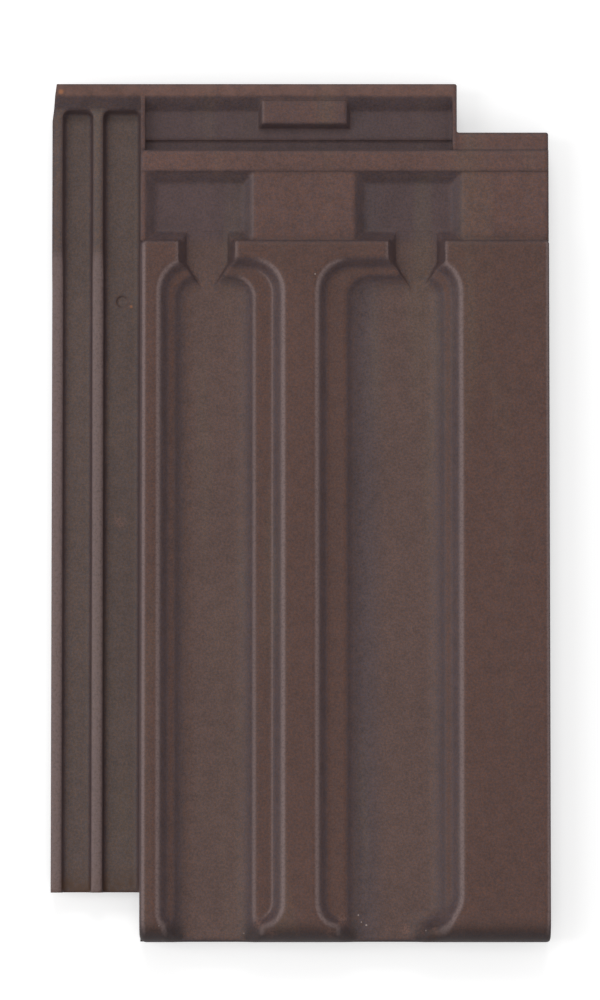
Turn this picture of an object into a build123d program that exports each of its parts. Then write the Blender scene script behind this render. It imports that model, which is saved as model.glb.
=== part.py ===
from build123d import *
from math import radians, tan
import os

# Clay roof tile, one pressed and fired body, shown as it lies face up on a level floor.
# X runs across the roof with the side lock on the left, Y runs up the roof to the head,
# Z is up out of the weather face. The origin is the middle of the footprint on the floor.

# Plan sizes of the tile
body_width = 213.4
lock_width = 46.6
tile_length = 448.4
head_lap = 82.9
lock_tail_gap = 25.6
corner_cut_width = 47.9
corner_cut_length = 25.5
head_slant_width = 2.5
head_slant_length = 19.0

# Heights above the floor, and the depths of the terraces and troughs below the ridges
ridge_height = 34.0
terrace_depth = 6.5
trough_depth = 12.5
body_underside = 12.5
bar_height = 29.4
block_height = 28.2
head_ridge_height = 27.5
head_flange_height = 26.8
support_block_height = 26.4
recess_height = 22.3
head_channel_height = 20.0
lock_underside = 7.0
lock_channel_height = 14.0
lock_rib_height = 19.8
lock_head_rib_height = 21.0

# Joints and gaps to the neighbouring tiles
side_joint = 2.0
course_joint = 1.0
lap_clearance = 1.0
foot_clearance = 1.2
foot_gap = 0.5
lip_gap = 0.8
hook_gap = 5.5

# Troughs of the weather face, given at the height of the ridges
wall_slope = 40.0
left_ridge_width = 9.4
first_trough_width = 65.2
centre_ridge_width = 17.6
second_trough_width = 75.2
terrace_width = 9.7
side_ledge = 2.6
head_ledge = 3.0
trough_head_setback = 8.9
trough_corner = 18.0
trough_foot_radius = 12.0
ledge_foot_radius = 2.5
tail_closing = 6.8
terrace_corner_margin = 4.3
left_tail_corner = 8.0
right_tail_corner = 18.0
outlet_setback = 2.0
flare_width = 11.0

# Drain notches from the recesses into the troughs
notch_inset = 32.6
notch_width = 31.0
notch_floor_width = 21.0
notch_neck_length = 11.0
notch_length = 29.0
notch_tip_width = 8.0
notch_tip_floor_width = 1.0

# Head lap: recess row, cross bar, head channel, support block and head ridge
recess_row_length = 36.5
recess_slope = 45.0
recess_foot_radius = 2.0
left_rim = 2.1
first_recess_width = 57.2
recess_block_width = 52.4
second_recess_width = 56.7
bar_width = 11.3
channel_rim = 2.2
channel_groove_width = 6.3
channel_groove_depth = 1.5
support_block_inset = 53.0
support_block_width = 49.4
support_block_length = 17.2
support_block_draft = 20.0
head_ridge_width = 6.2
head_ridge_slope = 44.0

# Side lock: two ribs and two rain channels
outer_rib_width = 5.2
outer_channel_width = 16.4
inner_rib_width = 4.8
channel_draft = 12.0
channel_corner = 4.0
channel_foot_radius = 2.2
rib_step_setback = 9.0
rib_step_length = 7.5
nail_mark_radius = 3.2
nail_mark_depth = 1.0
nail_mark_inset = 10.0
nail_mark_setback = 30.6
keel_overlap = 8.0

# Underside: lap cavity, ridge hollow, tail lip, feet, hook bars and nibs
cavity_ceiling = 22.5
lap_rib_foot = 15.2
lap_rib_draft = 1.2
ridge_wall = 9.0
hollow_width = 44.0
hollow_core_width = 16.0
hollow_draft = 20.0
hollow_end_wall = 6.0
tail_lip_thickness = 10.0
foot_bottom_length = 8.0
foot_slope = 40.0
hook_height = 1.5
hook_thickness = 8.0
hook_draft = 10.0
hook_side_gap = 5.0
nib_width = 46.0
nib_length = 18.0
nib_slant = 4.0
nib_setback = 28.0

# Edge rounding, the overlap of a cutter past the face it cuts, and the flatness of a level edge
tail_edge_radius = 11.0
ridge_edge_radius = 4.5
ledge_edge_radius = 3.0
left_edge_radius = 3.5
right_edge_radius = 2.0
lap_edge_radius = 2.0
rib_edge_radius = 1.4
head_edge_radius = 1.5
outer_corner = 1.2
inner_corner = 1.2
arris = 1.2
over = 1.0
past = 20.0
flat = 0.01

# Lines that follow from the sizes above
left = -(body_width + lock_width) / 2
right = -left
body_left = left + lock_width
tail = -tile_length / 2
head = tile_length / 2
lap_line = head - head_lap
head_right = right - corner_cut_width
cover_width = body_width + side_joint
exposure = tile_length - head_lap + course_joint
course_rise = recess_height + foot_gap
tail_lip_height = block_height + lip_gap - course_rise

terrace_height = ridge_height - terrace_depth
trough_height = ridge_height - trough_depth
terrace_tail_corner = terrace_width + terrace_corner_margin
first_left = body_left + left_ridge_width
first_right = first_left + first_trough_width
first_step = first_right - terrace_width
first_middle = (first_left + first_step) / 2
second_left = first_right + centre_ridge_width
second_step = second_left + terrace_width
second_right = second_left + second_trough_width
second_middle = (second_step + second_right) / 2
ledge_run = (ridge_height - terrace_height) * tan(radians(wall_slope))
first_step_line = first_step - ledge_run
second_step_line = second_step + ledge_run
trough_head = lap_line - trough_head_setback

recess_left = body_left + left_rim
recess_right = recess_left + first_recess_width
second_recess_left = recess_right + recess_block_width
second_recess_right = second_recess_left + second_recess_width
recess_depth = block_height - recess_height
recess_head = lap_line + recess_row_length
bar_head = recess_head + bar_width
channel_head = head - head_ridge_width
channel_depth = head_ridge_height - head_channel_height
slope_rate = tan(radians(90 - head_ridge_slope))
support_right = head_right - channel_rim - support_block_inset
support_left = support_right - support_block_width

lock_tail = tail + lock_tail_gap
lock_head = channel_head - (head_ridge_height - lock_head_rib_height) * slope_rate
rib_step_line = lap_line - rib_step_setback
outer_channel_left = left + outer_rib_width
outer_channel_right = outer_channel_left + outer_channel_width
inner_channel_left = outer_channel_right + inner_rib_width

neighbour_left = left + cover_width
lap_left = neighbour_left - lap_clearance
lap_outer_rib_right = outer_channel_left + cover_width + lap_clearance
lap_inner_rib_left = outer_channel_right + cover_width - lap_clearance
lap_inner_rib_right = inner_channel_left + cover_width + lap_clearance

hollow_tail = tail + tail_lip_thickness + hollow_end_wall
hollow_head = trough_head - hollow_end_wall


def block(x_low, x_high, y_low, y_high, z_low, z_high, draft=0.0, edge_radius=0.0):
    """Block between two opposite corners, which may narrow upward and have a rounded top."""
    with BuildPart() as form:
        with BuildSketch(Plane.XY.offset(z_low)):
            with Locations(((x_low + x_high) / 2, (y_low + y_high) / 2)):
                Rectangle(x_high - x_low, y_high - y_low)
        extrude(amount=z_high - z_low, taper=draft)
        if edge_radius > 0:
            fillet(form.faces().sort_by(Axis.Z)[-1].edges(), radius=edge_radius)
    return form.part


def pocket(x_low, x_high, y_low, y_high, top, floor, slope,
           tail_left=0.0, tail_right=0.0, head_left=0.0, head_right_radius=0.0, foot=0.0):
    """Form that narrows as it goes down, with a radius for each plan corner and a round foot."""
    with BuildPart() as form:
        with BuildSketch(Plane.XY.offset(top)) as outline:
            with Locations(((x_low + x_high) / 2, (y_low + y_high) / 2)):
                Rectangle(x_high - x_low, y_high - y_low)
            for x, y, radius in ((x_low, y_low, tail_left), (x_high, y_low, tail_right),
                                 (x_low, y_high, head_left), (x_high, y_high, head_right_radius)):
                if radius > 0:
                    fillet(outline.vertices().sort_by_distance((x, y))[0], radius=radius)
        extrude(amount=floor - top, taper=slope)
        if foot > 0:
            fillet(form.faces().sort_by(Axis.Z)[0].edges(), radius=foot)
    return form.part


def bar_across(x_low, x_high, *profile):
    """Bar of one section, given as points in Y and Z, that runs across from x_low to x_high."""
    with BuildPart() as bar:
        with BuildSketch(Plane.YZ.offset(x_low)):
            with BuildLine():
                Polyline(*profile, close=True)
            make_face()
        extrude(amount=x_high - x_low)
    return bar.part


def notch(centre):
    """Drain groove from a recess, of even width through the lap line, then drawn in to a point."""
    stations = ((lap_line + recess_depth, recess_height, notch_floor_width, notch_width),
                (lap_line - notch_neck_length, recess_height, notch_floor_width, notch_width),
                (lap_line - notch_length, trough_height, notch_tip_floor_width, notch_tip_width))
    with BuildPart() as groove:
        for station, floor, floor_width, top_width in stations:
            with BuildSketch(Plane.XZ.offset(-station)):
                with BuildLine():
                    Polyline((centre - floor_width / 2, floor), (centre + floor_width / 2, floor),
                             (centre + top_width / 2, ridge_height + over),
                             (centre - top_width / 2, ridge_height + over), close=True)
                make_face()
        loft(ruled=True)
    return groove.part


# Troughs: an upper pan down to the terraces, and a deeper run inside it that leaves a ledge all round
first_pan = pocket(first_left, first_right, tail + tail_closing, trough_head, ridge_height,
                   terrace_height, wall_slope, left_tail_corner, terrace_tail_corner, trough_corner,
                   trough_corner, foot=ledge_foot_radius)
first_run = pocket(first_left + side_ledge, first_step, tail - past, trough_head - head_ledge,
                   ridge_height, trough_height, wall_slope, head_left=trough_corner,
                   head_right_radius=trough_corner, foot=trough_foot_radius)
second_pan = pocket(second_left, second_right, tail + tail_closing, trough_head, ridge_height,
                    terrace_height, wall_slope, terrace_tail_corner, right_tail_corner, trough_corner,
                    trough_corner, foot=ledge_foot_radius)
second_run = pocket(second_step, second_right - side_ledge, tail + outlet_setback,
                    trough_head - head_ledge, ridge_height, trough_height, wall_slope, 0,
                    right_tail_corner, trough_corner, trough_corner, foot=trough_foot_radius)
second_outlet = pocket(second_step, second_right - side_ledge - flare_width, tail - past,
                       trough_head - past - right_tail_corner, ridge_height, trough_height, wall_slope,
                       foot=trough_foot_radius)


def level_edges(form, height):
    """Edges of a form that lie wholly at one height."""
    return form.edges().filter_by_position(Axis.Z, height - flat, height + flat).filter_by(
        lambda edge: edge.bounding_box().size.Z < flat)


def bounds_run(centre, x_low, x_high):
    """Whether the middle of an edge at terrace height is on the rim of a deeper run, not of its pan."""
    aside = min(centre.X - x_low, x_high - centre.X)
    ahead = trough_head - head_ledge - ledge_run - centre.Y
    return aside > -arris / 2 and ahead > -arris / 2 and aside + ahead > ledge_run


with BuildPart() as weather_face:
    add(block(body_left, right, tail, lap_line, body_underside, ridge_height))
    fillet(weather_face.edges().filter_by(Axis.X).group_by(Axis.Y)[0].sort_by(Axis.Z)[-1],
           radius=tail_edge_radius)
    for side, radius in ((body_left, left_edge_radius), (right, right_edge_radius)):
        rim = [edge for edge in weather_face.edges()
               if abs(edge.center().X - side) < arris
               and edge.bounding_box().max.Z > body_underside + arris
               and edge.center().Y < lap_line - arris]
        fillet(rim, radius=radius)
    for cutter in (first_pan, first_run, second_pan, second_run, second_outlet):
        add(cutter, mode=Mode.SUBTRACT)

# Round shoulders of the ridges, then of the whole ledge above each deeper run, then of the lap edge
shoulders = [edge for edge in level_edges(weather_face.part, ridge_height)
             if body_left + left_edge_radius + arris < edge.center().X < right - right_edge_radius - arris
             and tail + tail_edge_radius + flat < edge.center().Y < lap_line - arris]
shouldered_face = weather_face.part.fillet(ridge_edge_radius, shoulders)
ledges = [edge for edge in level_edges(shouldered_face, terrace_height)
          if bounds_run(edge.center(), first_left + side_ledge + ledge_run, first_step_line)
          or bounds_run(edge.center(), second_step_line, second_right - side_ledge - ledge_run)]
ledged_face = shouldered_face.fillet(ledge_edge_radius, ledges)
lap_edges = [edge for edge in ledged_face.edges()
             if abs(edge.center().Y - lap_line) < arris / 2 and edge.bounding_box().min.Z > block_height]
rounded_face = ledged_face.fillet(lap_edge_radius, lap_edges)

# Recesses and head channel of the head lap
first_recess = pocket(recess_left, recess_right, lap_line, recess_head, block_height, recess_height,
                      recess_slope, foot=recess_foot_radius)
second_recess = pocket(second_recess_left, second_recess_right, lap_line, recess_head, block_height,
                       recess_height, recess_slope, foot=recess_foot_radius)
head_channel = bar_across(body_left + channel_rim, head_right - channel_rim,
                          (bar_head + channel_groove_width, head_channel_height),
                          (bar_head + channel_groove_width, head_channel_height - channel_groove_depth),
                          (bar_head, head_channel_height - channel_groove_depth),
                          (bar_head, head_ridge_height + over),
                          (channel_head + over * slope_rate, head_ridge_height + over),
                          (channel_head - channel_depth * slope_rate, head_channel_height))
support_block = block(support_left, support_right, channel_head - support_block_length, channel_head,
                      head_channel_height - over, support_block_height, draft=support_block_draft,
                      edge_radius=arris)

# Side lock channels, open at the tail end and rounded where they meet the head ridge
outer_channel = pocket(outer_channel_left, outer_channel_right, tail - past, lock_head,
                       lock_head_rib_height, lock_channel_height, channel_draft,
                       head_left=channel_corner, head_right_radius=channel_corner,
                       foot=channel_foot_radius)
inner_channel = pocket(inner_channel_left, body_left, tail - past, lock_head,
                       lock_head_rib_height, lock_channel_height, channel_draft,
                       head_left=channel_corner, head_right_radius=channel_corner,
                       foot=channel_foot_radius)
lock_head_slope = bar_across(left - over, body_left, (lock_head, lock_head_rib_height),
                             (channel_head, head_ridge_height), (channel_head, ridge_height),
                             (lock_tail - over, ridge_height), (lock_tail - over, lock_head_rib_height))
rib_relief = bar_across(left - over, body_left, (rib_step_line, lock_head_rib_height),
                        (rib_step_line - rib_step_length, lock_rib_height),
                        (lock_tail - over, lock_rib_height), (lock_tail - over, ridge_height),
                        (rib_step_line, ridge_height))

# Lap cavity under the right edge, shaped round the ribs and channels of the neighbour's side lock
with BuildPart() as lap_cavity:
    with BuildSketch(Plane.XZ.offset(-(tail + tail_lip_thickness))):
        with BuildLine():
            Polyline((lap_left, -over), (lap_left, cavity_ceiling), (lap_outer_rib_right, cavity_ceiling),
                     (lap_outer_rib_right + lap_rib_draft, lap_rib_foot),
                     (lap_inner_rib_left - lap_rib_draft, lap_rib_foot),
                     (lap_inner_rib_left, cavity_ceiling), (lap_inner_rib_right, cavity_ceiling),
                     (lap_inner_rib_right + lap_rib_draft, lap_rib_foot),
                     (right + over, lap_rib_foot), (right + over, -over), close=True)
        make_face()
    extrude(amount=-tile_length)

# Hollow that keeps an even wall under the centre ridge and its terraces
ridge_centre = (first_right + second_left) / 2
terrace_hollow = block(ridge_centre - hollow_width / 2, ridge_centre + hollow_width / 2, hollow_tail,
                       hollow_head, body_underside - over, terrace_height - ridge_wall, draft=hollow_draft)
core_hollow = block(ridge_centre - hollow_core_width / 2, ridge_centre + hollow_core_width / 2,
                    hollow_tail + hollow_end_wall, hollow_head - hollow_end_wall, body_underside,
                    ridge_height - ridge_wall, draft=hollow_draft)

with BuildPart() as roof_tile:
    add(rounded_face)

    # Head lap
    add(block(body_left, right, lap_line, recess_head, body_underside, block_height))
    add(block(body_left, right, recess_head, head - corner_cut_length, body_underside,
              head_flange_height))
    add(block(body_left, head_right, recess_head, head, body_underside, head_ridge_height))
    for cutter in (first_recess, second_recess, head_channel):
        add(cutter, mode=Mode.SUBTRACT)
    add(block(body_left, right, recess_head, bar_head, block_height - recess_depth, bar_height,
              edge_radius=arris))
    add(support_block)
    for recess_edge in (recess_left, second_recess_left):
        add(notch(recess_edge + notch_inset), mode=Mode.SUBTRACT)

    # Side lock, with a keel that ties it under the body
    add(block(left, body_left, lock_tail, head, lock_underside, head_ridge_height))
    add(bar_across(body_left, body_left + keel_overlap, (lock_tail, lock_underside), (head, lock_underside),
                   (head, body_underside), (lock_tail, body_underside)))
    for cutter in (lock_head_slope, rib_relief, outer_channel, inner_channel):
        add(cutter, mode=Mode.SUBTRACT)
    with Locations((body_left - nail_mark_inset, lap_line - nail_mark_setback, lock_channel_height)):
        Cylinder(nail_mark_radius, 2 * nail_mark_depth, mode=Mode.SUBTRACT)

    # Underside: lap cavity, ridge hollow and closed tail
    for cutter in (lap_cavity.part, terrace_hollow, core_hollow):
        add(cutter, mode=Mode.SUBTRACT)
    add(block(body_left, right, tail, tail + tail_lip_thickness, tail_lip_height, body_underside))

    # Feet that stand in the recesses of the tile below, each tapered like its recess
    foot_run = recess_depth + foot_clearance
    for edge_left, edge_right in ((recess_left, recess_right), (second_recess_left, second_recess_right)):
        add(pocket(edge_left + foot_clearance, edge_right - foot_clearance, tail,
                   tail + foot_bottom_length + foot_run, tail_lip_height, 0, foot_slope))

    # Hook bars that hang in the head channel of the tile below, on either side of its support block
    hook_tail = bar_head + hook_gap - exposure
    for hook_left, hook_right in ((body_left + channel_rim, support_left),
                                  (support_right, head_right - channel_rim)):
        add(pocket(hook_left + hook_side_gap, hook_right - hook_side_gap, hook_tail,
                   hook_tail + hook_thickness, body_underside, hook_height, hook_draft))

    # Nibs that hang the tile on its batten, with a square face to the batten
    nib_head = head - nib_setback
    nib_tail = nib_head - nib_length
    for nib_centre in (first_middle, second_middle):
        add(bar_across(nib_centre - nib_width / 2, nib_centre + nib_width / 2, (nib_tail, body_underside),
                       (nib_tail, 0), (nib_head - nib_slant, 0), (nib_head, body_underside)))

    # Slanted plan corner of the head
    with BuildSketch(Plane.XY):
        with BuildLine():
            Polyline((left, head - head_slant_length), (left, head), (left + head_slant_width, head),
                     close=True)
        make_face()
    extrude(amount=ridge_height, mode=Mode.SUBTRACT)

    # Rounded rims of the side lock ribs below the step, and rounded upper edges and corners of the head
    rib_rims = [edge for edge in level_edges(roof_tile.part, lock_rib_height)
                if edge.length > tile_length / 2 and edge.center().X < body_left - arris]
    fillet(rib_rims, radius=rib_edge_radius)
    for station, height in ((head, head_ridge_height), (channel_head, head_ridge_height),
                            (head - corner_cut_length, head_flange_height)):
        head_edges = [edge for edge in level_edges(roof_tile.part, height)
                      if abs(edge.center().Y - station) < flat]
        fillet(head_edges, radius=head_edge_radius)
    for x, y, radius in ((head_right, head, outer_corner), (right, head - corner_cut_length, outer_corner),
                         (head_right, head - corner_cut_length, inner_corner)):
        corner_edges = [edge for edge in roof_tile.edges().filter_by(Axis.Z)
                        if abs(edge.center().X - x) + abs(edge.center().Y - y) < flat]
        fillet(corner_edges, radius=radius)

roof_tile.part.label = "roof_tile"
os.makedirs("parts", exist_ok=True)
export_step(roof_tile.part, "parts/roof_tile.step")
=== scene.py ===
from math import cos, pi, radians, sin

import bpy
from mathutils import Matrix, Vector


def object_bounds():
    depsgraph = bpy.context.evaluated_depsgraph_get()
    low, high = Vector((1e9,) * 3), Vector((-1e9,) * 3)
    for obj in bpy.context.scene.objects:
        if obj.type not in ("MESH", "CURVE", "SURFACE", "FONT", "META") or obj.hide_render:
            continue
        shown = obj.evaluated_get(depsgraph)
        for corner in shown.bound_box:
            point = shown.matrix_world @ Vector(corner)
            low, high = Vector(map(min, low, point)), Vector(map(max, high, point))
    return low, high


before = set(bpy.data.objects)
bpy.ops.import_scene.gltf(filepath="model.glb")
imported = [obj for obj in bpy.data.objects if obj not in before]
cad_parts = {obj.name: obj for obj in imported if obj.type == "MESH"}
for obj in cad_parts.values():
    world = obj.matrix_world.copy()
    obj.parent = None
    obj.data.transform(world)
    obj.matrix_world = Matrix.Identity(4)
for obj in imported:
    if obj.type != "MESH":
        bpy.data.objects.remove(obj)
cad_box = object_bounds()

MM = 0.001

# Edges of the tile and top of its ridges in the frame, in millimetres
LEFT, TAIL = (float(side) / MM for side in cad_box[0][:2])
HEAD, TOP = (float(side) / MM for side in cad_box[1][1:])

# Photograph: its size, its scale, and its pixel of the place that the camera is aimed at
IMAGE_WIDTH_PX = 600
IMAGE_HEIGHT_PX = 1000
MM_PER_PX = 0.5208
ORIGIN_PX = (300.1, 510.7)

# Camera: a little to the tail side in degrees, its distance from the face in metres, its sensor
CAMERA_TILT = 3.2
CAMERA_DISTANCE = 2.5
FACE_HEIGHT = 0.030
CLIP_END = 20.0
SENSOR = 36.0

# Photograph pixel of the tile's origin on its own face, and the size of a pixel there
FACE_ORIGIN_PX = (300.0, 512.4)
FACE_MM_PER_PX = 0.522

# Lamps: name, compass angle from +X and elevation in degrees, and share of the plain level, which
# is the light that makes a level white sheet read 1. The world gives about the rest of it
LAMPS = (
    ("left_high_box", 180.0, 60.0, 0.12),
    ("left_mid_box", 180.0, 38.0, 0.07),
    ("head_box", 90.0, 50.0, 0.17),
    ("tail_box", 270.0, 65.0, 0.09),
    ("left_low_box", 180.0, 12.0, 0.030),
    ("right_low_box", 0.0, 25.0, 0.02),
)
LAMP_DISTANCE = 3.0
LAMP_SIZE = 1.0
WORLD_SHARE = 0.52

# Floor: its width in metres, its colour, and what it gives off to the camera and to reflections
FLOOR_SIZE = 12.0
FLOOR_COLOUR = (0.74, 0.74, 0.74)
FLOOR_LIFT_SEEN = 0.42
FLOOR_LIFT_MIRRORED = 0.05

# Engobe colours, linear: on the ridges, in the troughs, painted shade on slopes, in the side lock, in
# the low and on the high places of the head lap, a painted highlight on round shoulders, and thin over
# the red clay
ENGOBE_RIDGE = (0.081, 0.041, 0.033)
ENGOBE_FLOOR = (0.094, 0.055, 0.047)
SLOPE_SHADE_COLOUR = (0.071, 0.048, 0.050)
ENGOBE_LOCK = (0.090, 0.060, 0.052)
ENGOBE_LAP = (0.070, 0.043, 0.044)
ENGOBE_LAP_TOP = (0.098, 0.051, 0.043)
HIGHLIGHT_COLOUR = (0.170, 0.118, 0.113)
ENGOBE_THIN = (0.165, 0.085, 0.066)

# Other colours, and the warm and cool tints of the grain
RUN_OFF_STAIN = (0.070, 0.034, 0.018)
DUST = (0.120, 0.093, 0.064)
BARE_CLAY = (0.26, 0.105, 0.050)
PALE_SPECK = (0.34, 0.27, 0.24)
GRAIN_COOL = (0.86, 0.98, 1.14)
GRAIN_WARM = (1.16, 1.01, 0.84)

# Strength of the painted shade on slopes, of the dust in runs, of the painted highlight on terraces and
# ribs, of thin engobe on sharp edges and on the head edge, and of the painted shade on the tail
SLOPE_SHADE_STRENGTH = 0.85
DUST_STRENGTH = 0.22
TERRACE_HIGHLIGHT = 0.7
RIB_HIGHLIGHT = 0.8
EDGE_THINNING = 0.4
HEAD_THINNING = 0.45
TAIL_SHADE = 0.50

# Noises: scale for each metre, detail, roughness, and stretch along the axes where it isn't even
CLOUDS = (16.0, 3.0)
RUNS = (9.0, 2.0, 0.5, (6.0, 0.6, 6.0))
MOTTLE = (150.0, 3.0, 0.6)
GRAIN = (800.0, 2.0, 0.7)
FINE_GRAIN = (2200.0, 1.0)
SPECKLE = (1300.0, 1.0)

# Values of a noise between which a mask of it grows, and how far each noise shades the colour
WIDE_SPAN = (0.3, 0.7)
MIDDLE_SPAN = (0.35, 0.65)
DUST_SPAN = (0.52, 0.75)
CLOUD_SHADING = 0.04
MOTTLE_SHADING = 0.07
GRAIN_SHADING = 0.18
FINE_SHADING = 0.12

# How grain or mottle breaks up a mask: the values between which it grows, and its least and most
HIGHLIGHT_BREAK = ((0.30, 0.62), (0.45, 0.90))
STAIN_BREAK = ((0.38, 0.62), (0.15, 0.75))
THIN_BREAK = ((0.35, 0.65), (0.4, 1.0))
PATCH_BREAK = ((0.42, 0.60), (0.1, 0.8))

# Relief of the surface in the bump, its sheen, and how the grain roughens it
CLOUD_RELIEF = 1.5
MOTTLE_RELIEF = 0.35
GRAIN_RELIEF = 0.35
BUMP_STRENGTH = 0.55
BUMP_HEIGHT = 0.25 * MM
SHEEN_LEVEL = 0.3
ROUGHNESS_BREAK = ((0.25, 0.75), (0.46, 0.62))

# Soft look of all edges, and the narrow line of thin engobe along them: radius and samples
SOFT_BEVEL = (3.6 * MM, 8)
EDGE_BEVEL = (1.2 * MM, 4)

# Directions between which a mask grows: how far an edge turns the surface, and how far up or to a
# side the softened surface faces
EDGE_TURN = (0.995, 0.80)
STEEP_UP = (0.985, 0.75)
SHOULDER_OFF_WALL_UP = (0.62, 0.86)
SHOULDER_OFF_FLAT_UP = (1.0, 0.93)
SHOULDER_SIDEWAYS = (0.05, 0.30)

# Each pair from here to the spots is where a mask begins and where it is full, in millimetres.
# Low places, and how far the clouds move them up and down
LOW_Z = (TOP - 6.0, TOP - 11.5)
LOW_DRIFT = 1.0

# Side lock, the rest of the tile beside it, and the head lap
LOCK_X = (LEFT + 47.5, LEFT + 45.5)
FIELD_X = (LEFT + 45.5, LEFT + 47.5)
LAP_Y = (HEAD - 86.2, HEAD - 78.2)

# Foot of the wall in the second trough, darkened by a painted shade
FOOT_SHADE_FROM_X = (24.0, 26.0)
FOOT_SHADE_TO_X = (47.0, 34.0)
FOOT_SHADE_BELOW_Z = (TOP - 9.5, TOP - 11.0)
FOOT_SHADE_ABOVE_Z = (TOP - 15.0, TOP - 13.0)

# Painted highlight on the ridges, on the terrace left of the centre ridge, and on the side-lock ribs
RIDGE_Z = (TOP - 4.5, TOP - 2.0)
TERRACE_ABOVE_Z = (TOP - 8.5, TOP - 7.2)
TERRACE_BELOW_Z = (TOP - 5.8, TOP - 6.4)
TERRACE_X = -22.0
TERRACE_REACH = (14.0, 8.0)
RIB_Z = (TOP - 16.0, TOP - 14.6)
RIB_Y = (HEAD - 84.2, HEAD - 94.2)

# Run-off stain, thin head edge, and the painted shade on the tail, on its rounding and its face
STAIN_Y = (TAIL + 42.2, TAIL + 29.2)
HEAD_EDGE_Y = (HEAD - 7.7, HEAD - 5.2)
TAIL_Y = (TAIL + 16.2, TAIL + 1.2)
TAIL_ROUND_Z = (TOP - 13.0, TOP - 10.0)
TAIL_FACE_Y = (TAIL + 1.7, TAIL + 0.2)

# Thin patches of engobe, bare clay spots and pale specks: photograph pixel and radius in
# millimetres, and how far each blurs out from that radius
THIN_PATCHES = ((259, 924, 2.6), (342, 921, 3.0), (405, 929, 2.2), (420, 931, 2.4), (434, 930, 2.0),
                (272, 932, 2.0), (330, 933, 2.0), (119, 522, 2.4))
BARE_SPOTS = ((60, 91, 1.2), (130, 305, 0.7))
PALE_SPECKS = ((358, 915, 0.35), (361, 922, 0.3), (366, 925, 0.45), (425, 930, 0.3), (160, 925, 0.25),
               (244, 933, 0.25), (315, 276, 0.3))
PATCH_BLUR = 0.8
SPOT_BLUR = 0.6


def at_px(x, y):
    """Place on the face of the tile, in metres, of a pixel of the photograph."""
    return tuple(way * FACE_MM_PER_PX * MM for way in (x - FACE_ORIGIN_PX[0], FACE_ORIGIN_PX[1] - y))


class Shader:
    """Short names for building one material's node tree."""

    def __init__(self, name):
        self.material = bpy.data.materials.new(name)
        self.material.use_nodes = True
        self.tree = self.material.node_tree
        self.tree.nodes.clear()

    def add(self, kind, **settings):
        node = self.tree.nodes.new(kind)
        for key, value in settings.items():
            setattr(node, key, value)
        return node

    def put(self, socket, value):
        """Link a socket to another one, or give it a plain value or colour."""
        if isinstance(value, bpy.types.NodeSocket):
            self.tree.links.new(value, socket)
        elif isinstance(value, tuple) and socket.type == "RGBA":
            socket.default_value = (*value, 1.0)
        else:
            socket.default_value = value

    def maths(self, operation, first, *others):
        """One operation over two or more values, in their order."""
        for other in others:
            node = self.add("ShaderNodeMath", operation=operation)
            self.put(node.inputs[0], first)
            self.put(node.inputs[1], other)
            first = node.outputs[0]
        return first

    def product(self, *values):
        return self.maths("MULTIPLY", *values)

    def greatest(self, *values):
        return self.maths("MAXIMUM", *values)

    def total(self, *values):
        return self.maths("ADD", *values)

    def size_of(self, value):
        node = self.add("ShaderNodeMath", operation="ABSOLUTE")
        self.put(node.inputs[0], value)
        return node.outputs[0]

    def vector(self, operation, first, second, answer="Vector"):
        node = self.add("ShaderNodeVectorMath", operation=operation)
        self.put(node.inputs[0], first)
        self.put(node.inputs[1], second)
        return node.outputs[answer]

    def axes(self, vector):
        node = self.add("ShaderNodeSeparateXYZ")
        self.put(node.inputs[0], vector)
        return node.outputs["X"], node.outputs["Y"], node.outputs["Z"]

    def ramp(self, value, span, answers=(0.0, 1.0)):
        """Smooth step from the first answer to the second while the value crosses a span."""
        node = self.add("ShaderNodeMapRange", interpolation_type="SMOOTHSTEP")
        self.put(node.inputs["Value"], value)
        for name, number in zip(("From Min", "From Max", "To Min", "To Max"), (*span, *answers)):
            node.inputs[name].default_value = number
        return node.outputs[0]

    def along(self, place, span, answers=(0.0, 1.0)):
        """Ramp over a place or distance, with its span in millimetres."""
        return self.ramp(place, [end * MM for end in span], answers)

    def mix(self, factor, first, second):
        node = self.add("ShaderNodeMixRGB")
        self.put(node.inputs[0], factor)
        self.put(node.inputs[1], first)
        self.put(node.inputs[2], second)
        return node.outputs[0]

    def scale_colour(self, colour, factor):
        node = self.add("ShaderNodeVectorMath", operation="SCALE")
        self.put(node.inputs[0], colour)
        self.put(node.inputs["Scale"], factor)
        return node.outputs[0]

    def noise(self, coordinates, scale, detail, roughness=0.5, stretch=(1.0, 1.0, 1.0)):
        mapping = self.add("ShaderNodeMapping")
        self.put(mapping.inputs["Vector"], coordinates)
        mapping.inputs["Scale"].default_value = stretch
        node = self.add("ShaderNodeTexNoise")
        self.put(node.inputs["Vector"], mapping.outputs[0])
        node.inputs["Scale"].default_value = scale
        node.inputs["Detail"].default_value = detail
        node.inputs["Roughness"].default_value = roughness
        return node.outputs[0]

    def bevel(self, radius, samples):
        node = self.add("ShaderNodeBevel", samples=samples)
        node.inputs["Radius"].default_value = radius
        return node.outputs[0]

    def surface(self, shader):
        """The material, once this shader is its surface."""
        self.put(self.add("ShaderNodeOutputMaterial").inputs["Surface"], shader)
        return self.material


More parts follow.
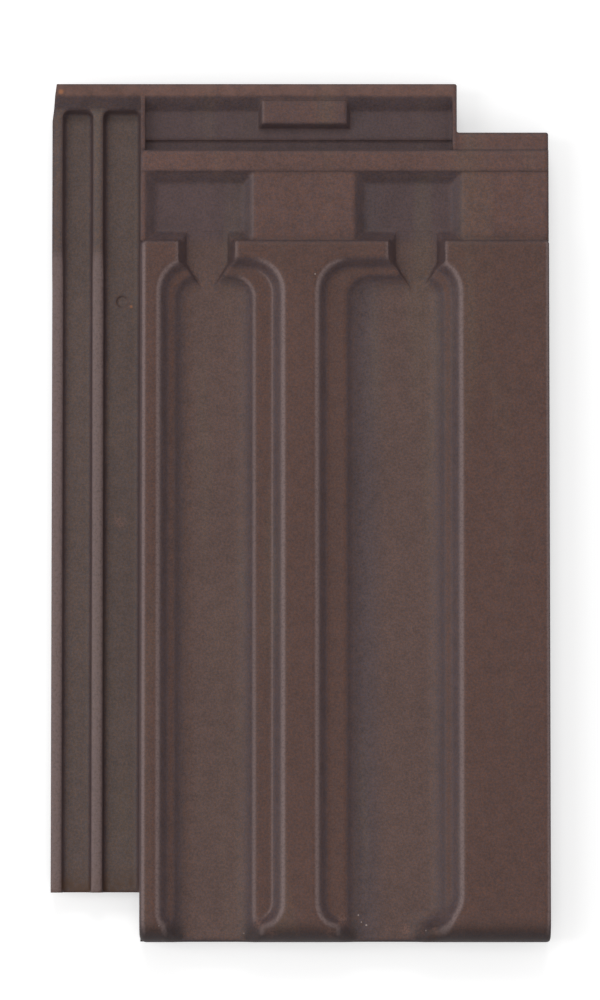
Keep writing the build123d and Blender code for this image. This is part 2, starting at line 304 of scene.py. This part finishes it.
class Clay(Shader):
    """Node tree of the tile's clay, with the places, noises and masks that its finish is made of."""

    def __init__(self, name):
        super().__init__(name)
        self.place = self.add("ShaderNodeTexCoord").outputs["Object"]
        self.flat_place = self.vector("MULTIPLY", self.place, (1.0, 1.0, 0.0))
        self.x, self.y, self.z = self.axes(self.place)
        self.soft_normal = self.bevel(*SOFT_BEVEL)
        self.sideways, _, self.up = self.axes(self.soft_normal)
        self.clouds = self.noise(self.place, *CLOUDS)
        self.runs = self.noise(self.place, *RUNS)
        self.mottle = self.noise(self.place, *MOTTLE)
        self.grain = self.noise(self.place, *GRAIN)
        self.fine_grain = self.noise(self.place, *FINE_GRAIN)
        self.speckle = self.noise(self.place, *SPECKLE)
        drift = self.ramp(self.clouds, MIDDLE_SPAN, (-LOW_DRIFT * MM, LOW_DRIFT * MM))
        self.low = self.along(self.total(self.z, drift), LOW_Z)
        self.in_lock = self.along(self.x, LOCK_X)

    def engobe(self):
        """Engobe, cooler in low places and darker in the low places of the head lap, with painted shade
        on slopes and at the foot of the second trough's wall, and dust in long runs.
        """
        lap = self.product(self.along(self.y, LAP_Y), self.along(self.x, FIELD_X))
        foot_shade = self.product(self.along(self.x, FOOT_SHADE_FROM_X), self.along(self.x, FOOT_SHADE_TO_X),
                              self.along(self.z, FOOT_SHADE_BELOW_Z), self.along(self.z, FOOT_SHADE_ABOVE_Z))
        slope_shade = self.greatest(self.ramp(self.up, STEEP_UP), foot_shade)
        colour = self.mix(self.low, ENGOBE_RIDGE, ENGOBE_FLOOR)
        colour = self.mix(lap, colour, self.mix(self.low, ENGOBE_LAP_TOP, ENGOBE_LAP))
        colour = self.mix(self.product(self.low, self.in_lock), colour, ENGOBE_LOCK)
        # Painted shade: a darker, cooler colour on steep walls and at the foot of the second trough's wall
        colour = self.mix(self.product(slope_shade, SLOPE_SHADE_STRENGTH), colour, SLOPE_SHADE_COLOUR)
        dusty = self.product(self.ramp(self.runs, DUST_SPAN), DUST_STRENGTH)
        return self.mix(dusty, colour, DUST)

    def grained(self, colour):
        """A colour with light and dark, warm and cool grain over it."""
        shade = 1.0
        for noise, span, amount in ((self.mottle, WIDE_SPAN, MOTTLE_SHADING),
                                    (self.grain, WIDE_SPAN, GRAIN_SHADING),
                                    (self.fine_grain, WIDE_SPAN, FINE_SHADING),
                                    (self.clouds, MIDDLE_SPAN, CLOUD_SHADING)):
            shade = self.total(shade, self.ramp(noise, span, (-amount, amount)))
        tint = self.mix(self.ramp(self.speckle, MIDDLE_SPAN), GRAIN_COOL, GRAIN_WARM)
        return self.vector("MULTIPLY", self.scale_colour(colour, shade), tint)

    def stained(self):
        """Mask of the run-off stain at the tail ends of the rain channels."""
        return self.product(self.in_lock, self.along(self.y, STAIN_Y),
                            self.ramp(self.mottle, *STAIN_BREAK), self.low)

    def painted_highlight(self):
        """Mask of a painted highlight on the round shoulders of ridges and terraces, and on the tops
        of the side-lock ribs.
        """
        shoulder = self.product(self.ramp(self.up, SHOULDER_OFF_WALL_UP),
                                self.ramp(self.up, SHOULDER_OFF_FLAT_UP),
                                self.ramp(self.size_of(self.sideways), SHOULDER_SIDEWAYS))
        from_terrace = self.size_of(self.total(self.x, -TERRACE_X * MM))
        terrace = self.product(self.along(self.z, TERRACE_ABOVE_Z), self.along(self.z, TERRACE_BELOW_Z),
                               self.along(from_terrace, TERRACE_REACH, (0.0, TERRACE_HIGHLIGHT)))
        rib = self.product(self.along(self.z, RIB_Z), self.along(self.y, RIB_Y, (0.0, RIB_HIGHLIGHT)),
                           self.in_lock)
        shoulder = self.product(shoulder, self.greatest(self.along(self.z, RIDGE_Z), terrace))
        return self.product(self.greatest(shoulder, rib), self.ramp(self.grain, *HIGHLIGHT_BREAK))

    def near(self, pixel, radius, blur):
        """Mask of a round spot about a pixel of the photograph, its radius in millimetres."""
        distance = self.vector("DISTANCE", self.flat_place, (*at_px(*pixel), 0.0), "Value")
        return self.along(distance, (radius * (1 + blur), radius * (1 - blur)))

    def thin(self):
        """Mask of the thin engobe on sharp edges, on the head edge and in patches."""
        true_normal = self.add("ShaderNodeNewGeometry").outputs["Normal"]
        turn = self.vector("DOT_PRODUCT", self.bevel(*EDGE_BEVEL), true_normal, "Value")
        mask = self.greatest(self.ramp(turn, EDGE_TURN, (0.0, EDGE_THINNING)),
                             self.along(self.y, HEAD_EDGE_Y, (0.0, HEAD_THINNING)))
        mask = self.product(mask, self.ramp(self.mottle, *THIN_BREAK))
        for x, y, radius in THIN_PATCHES:
            patch = self.near((x, y), radius, PATCH_BLUR)
            mask = self.greatest(mask, self.product(patch, self.ramp(self.grain, *PATCH_BREAK)))
        return mask

    def tail_shade(self):
        """Factor of painted shade that darkens the rounded tail and its face."""
        rounded = self.greatest(self.along(self.z, TAIL_ROUND_Z), self.along(self.y, TAIL_FACE_Y))
        return self.ramp(self.product(self.along(self.y, TAIL_Y), rounded), (0.0, 1.0), (1.0, TAIL_SHADE))

    def relief(self):
        """Normal of the softened surface with its fine relief."""
        bump = self.add("ShaderNodeBump")
        bump.inputs["Strength"].default_value = BUMP_STRENGTH
        bump.inputs["Distance"].default_value = BUMP_HEIGHT
        self.put(bump.inputs["Height"], self.total(self.product(self.mottle, MOTTLE_RELIEF),
                                                   self.product(self.grain, GRAIN_RELIEF),
                                                   self.product(self.clouds, CLOUD_RELIEF)))
        self.put(bump.inputs["Normal"], self.soft_normal)
        return bump.outputs[0]


def fired_clay():
    """Brown engobe over fired clay: cloudy and grained, with a painted highlight on shoulders and
    painted shade on slopes and the tail, thin in places.
    """
    clay = Clay("fired_clay_engobe")
    colour = clay.grained(clay.engobe())
    colour = clay.mix(clay.stained(), colour, RUN_OFF_STAIN)
    # Painted highlight on the round shoulders and on the tops of the side-lock ribs
    colour = clay.mix(clay.painted_highlight(), colour, HIGHLIGHT_COLOUR)
    colour = clay.mix(clay.thin(), colour, ENGOBE_THIN)
    for spots, tone in ((BARE_SPOTS, BARE_CLAY), (PALE_SPECKS, PALE_SPECK)):
        for x, y, radius in spots:
            colour = clay.mix(clay.near((x, y), radius, SPOT_BLUR), colour, tone)
    shader = clay.add("ShaderNodeBsdfPrincipled")
    # Painted shade darkens the rounded tail and its face
    clay.put(shader.inputs["Base Color"], clay.scale_colour(colour, clay.tail_shade()))
    clay.put(shader.inputs["Roughness"], clay.ramp(clay.grain, *ROUGHNESS_BREAK))
    clay.put(shader.inputs["Specular IOR Level"], SHEEN_LEVEL)
    clay.put(shader.inputs["Normal"], clay.relief())
    return clay.surface(shader.outputs[0])


def studio_floor():
    """Pale floor that the camera sees as white, with the object's shadow kept."""
    s = Shader("studio_floor")
    diffuse = s.add("ShaderNodeBsdfDiffuse")
    s.put(diffuse.inputs["Color"], FLOOR_COLOUR)
    rays = s.add("ShaderNodeLightPath").outputs
    seen = s.product(rays["Is Camera Ray"], FLOOR_LIFT_SEEN)
    mirrored = s.product(s.greatest(rays["Is Glossy Ray"], rays["Is Transmission Ray"]), FLOOR_LIFT_MIRRORED)
    lift = s.add("ShaderNodeEmission")
    s.put(lift.inputs["Strength"], s.total(seen, mirrored))
    both = s.add("ShaderNodeAddShader")
    s.put(both.inputs[0], diffuse.outputs[0])
    s.put(both.inputs[1], lift.outputs[0])
    return s.surface(both.outputs[0])


# Tile
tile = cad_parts["roof_tile"]
tile.data.materials.clear()
tile.data.materials.append(fired_clay())

# Floor
bpy.ops.mesh.primitive_plane_add(size=FLOOR_SIZE, location=(0.0, 0.0, 0.0))
floor = bpy.context.object
floor.name = "studio_floor"
floor.data.materials.append(studio_floor())

# World, white where the camera sees it and dimmer as light
world = bpy.data.worlds.new("studio_world")
bpy.context.scene.world = world
world.use_nodes = True
background = world.node_tree.nodes["Background"]
background.inputs["Color"].default_value = (1.0, 1.0, 1.0, 1.0)
rays = world.node_tree.nodes.new("ShaderNodeLightPath")
strength = world.node_tree.nodes.new("ShaderNodeMapRange")
strength.inputs["To Min"].default_value = WORLD_SHARE
strength.inputs["To Max"].default_value = 1.0
world.node_tree.links.new(rays.outputs["Is Camera Ray"], strength.inputs["Value"])
world.node_tree.links.new(strength.outputs[0], background.inputs["Strength"])

# Lamps, each turned towards the tile and as strong as its share of the plain level needs there
for name, compass, elevation, share in LAMPS:
    bearing = radians(compass)
    rise = radians(elevation)
    data = bpy.data.lights.new(name, "AREA")
    data.shape = "SQUARE"
    data.size = LAMP_SIZE
    data.energy = share * pi ** 2 * LAMP_DISTANCE ** 2 / sin(rise)
    lamp = bpy.data.objects.new(name, data)
    direction = Vector((cos(rise) * cos(bearing), cos(rise) * sin(bearing), sin(rise)))
    lamp.location = direction * LAMP_DISTANCE
    lamp.rotation_euler = (-direction).to_track_quat("-Z", "Y").to_euler()
    bpy.context.scene.collection.objects.link(lamp)

# Camera, nearly straight above
camera = bpy.data.objects.new("camera", bpy.data.cameras.new("camera"))
bpy.context.scene.collection.objects.link(camera)
camera.data.sensor_fit = "HORIZONTAL"
camera.data.sensor_width = SENSOR
camera.data.lens = SENSOR * CAMERA_DISTANCE / (IMAGE_WIDTH_PX * MM_PER_PX * MM)
camera.data.clip_end = CLIP_END
tilt = radians(CAMERA_TILT)
back = Vector((0.0, -sin(tilt), cos(tilt)))
up = Vector((0.0, cos(tilt), sin(tilt)))
shift_right = (IMAGE_WIDTH_PX / 2 - ORIGIN_PX[0]) * MM_PER_PX * MM
shift_up = (ORIGIN_PX[1] - IMAGE_HEIGHT_PX / 2) * MM_PER_PX * MM
camera.location = Vector((shift_right, 0.0, FACE_HEIGHT)) + back * CAMERA_DISTANCE + up * shift_up
camera.rotation_euler = (tilt, 0.0, 0.0)
bpy.context.scene.camera = camera

bpy.context.scene.view_settings.view_transform = "Standard"
